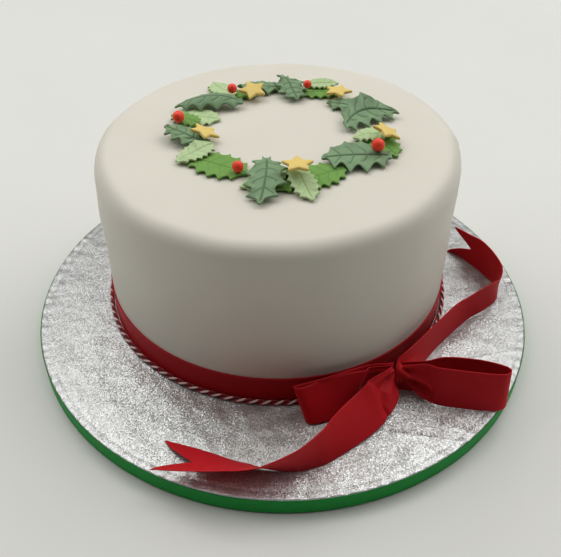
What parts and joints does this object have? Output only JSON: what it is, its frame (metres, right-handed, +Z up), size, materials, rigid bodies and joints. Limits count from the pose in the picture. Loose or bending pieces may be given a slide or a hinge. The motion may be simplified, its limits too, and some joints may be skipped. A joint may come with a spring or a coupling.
{
  "type": "christmas cake",
  "caption": "Round iced Christmas cake with a wreath of sugar holly leaves, stars and berries, a red ribbon band, twine and bow, on a foil drum with a green edge.",
  "frame": {"origin": "middle of the drum's underside, on the surface it stands on", "axes": "+Z up through the drum, -Y towards the viewer of the picture, +X to the viewer's right"},
  "size_m": [0.3048, 0.3048, 0.1297],
  "materials": {
    "foil": "embossed crinkled foil, satin",
    "edge_ribbon": "satin",
    "icing": "smooth sugar paste, matt to satin",
    "red_ribbon": "satin",
    "twine": "two-ply twist, red and white",
    "sage_paste": "sugar paste, matt",
    "green_paste": "sugar paste, matt",
    "pale_paste": "sugar paste, matt",
    "star_paste": "sugar paste, matt",
    "berry_paste": "sugar paste, satin"
  },
  "bodies": {
    "root": {"board": "foil", "board_ribbon": "edge_ribbon", "cake": "icing", "base_ribbon": "red_ribbon", "twine": "twine", "bow": "red_ribbon", "sage_leaf_left": "sage_paste", "sage_leaf_back_left": "sage_paste", "sage_leaf_back_right": "sage_paste", "sage_leaf_front": "sage_paste", "sage_leaf_right_front": "sage_paste", "sage_leaf_right_back": "sage_paste", "sage_leaf_back": "sage_paste", "sage_leaf_left_back": "sage_paste", "green_leaf_left": "green_paste", "green_leaf_left_front": "green_paste", "green_leaf_right_front": "green_paste", "green_leaf_right": "green_paste", "green_leaf_back_right": "green_paste", "green_leaf_back_left": "green_paste", "green_leaf_front": "green_paste", "pale_leaf_left": "pale_paste", "pale_leaf_front": "pale_paste", "pale_leaf_right": "pale_paste", "pale_leaf_back_left": "pale_paste", "pale_leaf_back_right": "pale_paste", "pale_leaf_left_front": "pale_paste", "pale_leaf_right_front": "pale_paste", "star_left": "star_paste", "star_front": "star_paste", "star_right": "star_paste", "star_back_right": "star_paste", "star_back_left": "star_paste", "berry_left": "berry_paste", "berry_front": "berry_paste", "berry_right": "berry_paste", "berry_back": "berry_paste", "berry_back_left": "berry_paste"}
  },
  "joints": []
}
